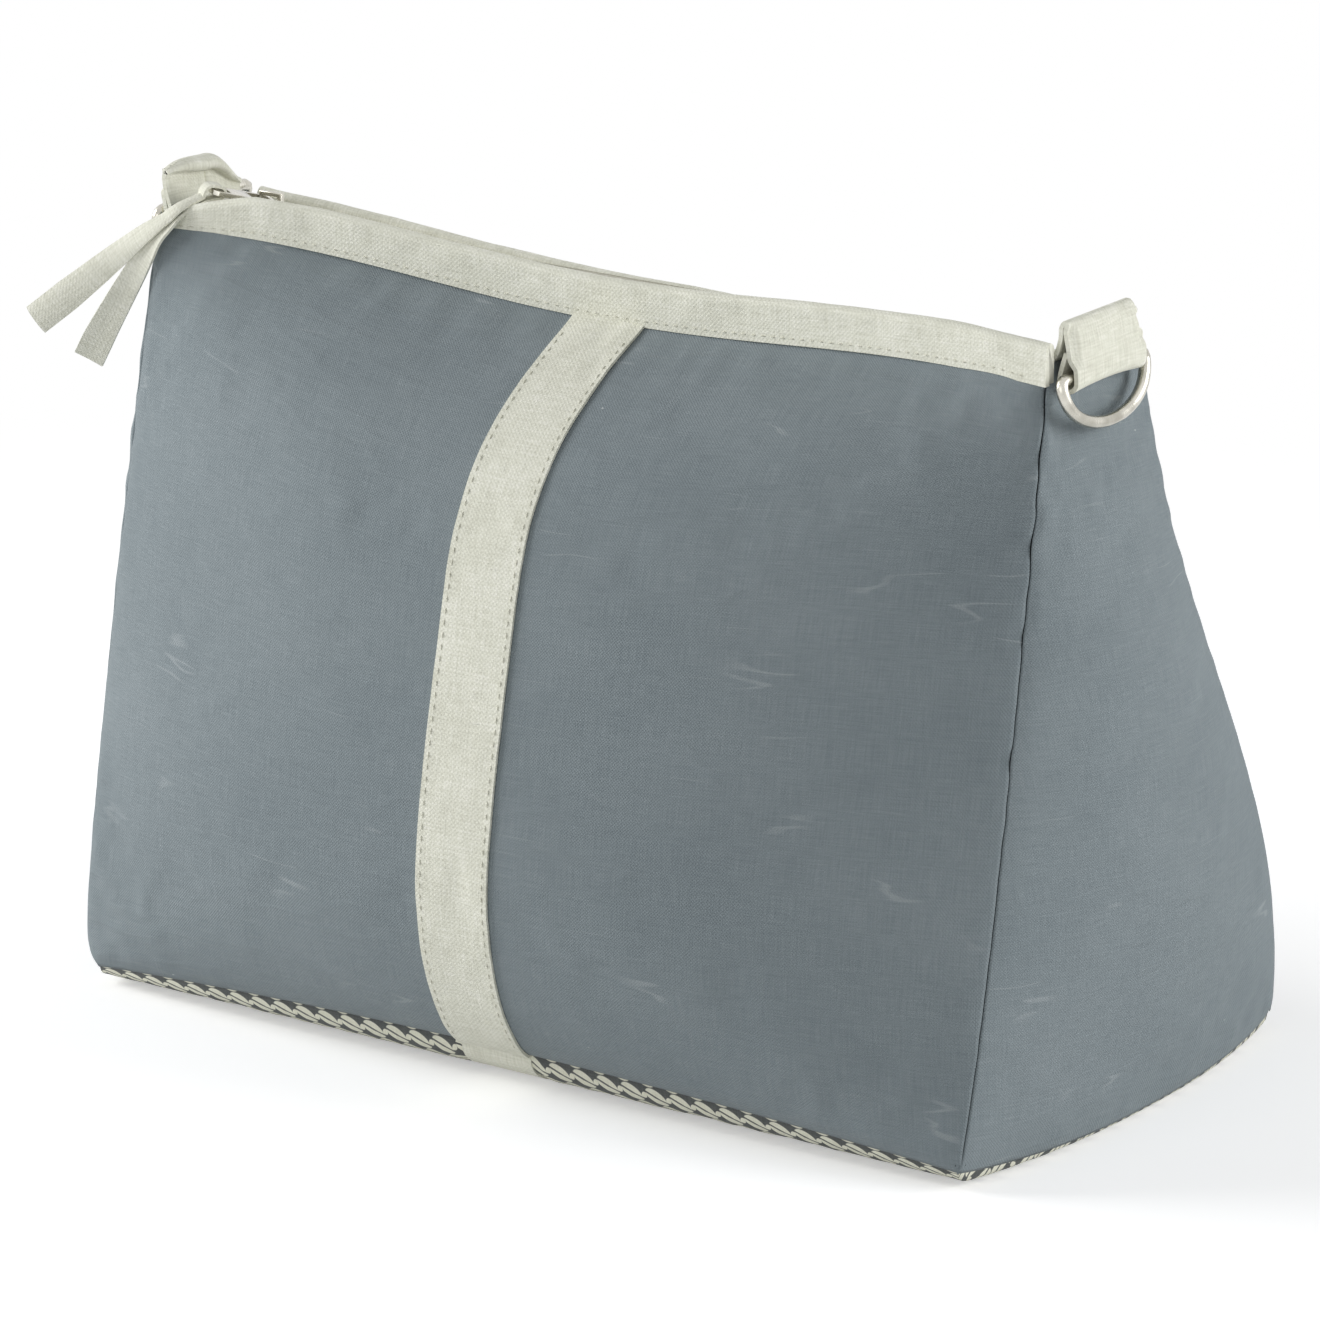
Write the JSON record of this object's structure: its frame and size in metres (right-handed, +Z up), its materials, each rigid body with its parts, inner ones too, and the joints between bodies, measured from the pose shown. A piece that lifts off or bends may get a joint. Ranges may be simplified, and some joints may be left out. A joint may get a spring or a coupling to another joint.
{
  "type": "toiletry bag",
  "caption": "Padded cloth toiletry bag with puffed walls, end gussets, a linen centre band, bound mouth, zip with ribbon pull, and end loops with D rings",
  "frame": {"origin": "Middle of the bag's footprint box, on the plane it stands on; the ribbon is not counted.", "axes": "+X runs along the zip to the right as seen from the front, -Y points out of the front wall, +Z is up."},
  "size_m": [0.3058, 0.1753, 0.2024],
  "materials": {
    "grey_cloth": "matt plain weave",
    "wadding": "soft padding",
    "lining": "smooth cotton lining",
    "printed_cloth": "printed cotton",
    "linen": "coarse linen weave",
    "zip_tape": "woven zip tape",
    "zip_teeth": "satin plastic",
    "steel": "polished nickel plate"
  },
  "bodies": {
    "body": {"front_cover": "grey_cloth", "front_wadding": "wadding", "front_lining": "lining", "back_cover": "grey_cloth", "back_wadding": "wadding", "back_lining": "lining", "left_cover": "grey_cloth", "left_wadding": "wadding", "left_lining": "lining", "right_cover": "grey_cloth", "right_wadding": "wadding", "right_lining": "lining", "base_cover": "printed_cloth", "base_wadding": "wadding", "base_lining": "lining", "front_band": "linen", "back_band": "linen", "base_band": "linen", "front_binding": "linen", "back_binding": "linen", "front_tape_edge": "zip_tape", "back_tape_edge": "zip_tape", "left_tape_end": "zip_tape", "right_tape_end": "zip_tape", "right_chain_end": "zip_teeth", "front_top_stop": "steel", "back_top_stop": "steel", "bottom_stop": "steel", "left_loop": "linen", "right_loop": "linen"},
    "front_flap": {"front_tape": "zip_tape", "front_teeth": "zip_teeth"},
    "back_flap": {"back_tape": "zip_tape", "back_teeth": "zip_teeth"},
    "slider": {"zip_slider": "steel"},
    "puller": {"zip_puller": "steel", "ribbon_fold": "linen", "ribbon_front_tail": "linen", "ribbon_back_tail": "linen"},
    "left_ring": {"left_d_ring": "steel"},
    "right_ring": {"right_d_ring": "steel"}
  },
  "joints": [
    {"name": "zip_slide", "type": "slide", "parent": "body", "child": "slider", "axis": [1, 0, 0], "range_m": [0, 0.2196], "deforming": ["front_tape", "front_teeth", "back_tape", "back_teeth", "ribbon_front_tail", "ribbon_back_tail"]},
    {"name": "front_tape_fold", "type": "hinge", "parent": "body", "child": "front_flap", "pos_m": [0, -0.017, 0.1875], "axis": [1, 0, 0], "range_deg": [0, 80]},
    {"name": "back_tape_fold", "type": "hinge", "parent": "body", "child": "back_flap", "pos_m": [0, -0.007, 0.1875], "axis": [-1, 0, 0], "range_deg": [0, 80]},
    {"name": "puller_flip", "type": "hinge", "parent": "slider", "child": "puller", "pos_m": [-0.1098, -0.012, 0.19295], "axis": [-0.8191, 0.5736, 0], "range_deg": [0, 100]},
    {"name": "left_ring_swing", "type": "hinge", "parent": "body", "child": "left_ring", "pos_m": [-0.1335, -0.012, 0.19033], "axis": [0, 1, 0], "range_deg": [0, 150]},
    {"name": "right_ring_swing", "type": "hinge", "parent": "body", "child": "right_ring", "pos_m": [0.13365, -0.012, 0.18915], "axis": [0, -1, 0], "range_deg": [0, 150]}
  ],
  "couplings": [
    {"joint": "front_tape_fold", "follows": "zip_slide", "rad_per_m": 6.358},
    {"joint": "back_tape_fold", "follows": "zip_slide", "rad_per_m": 6.358}
  ]
}
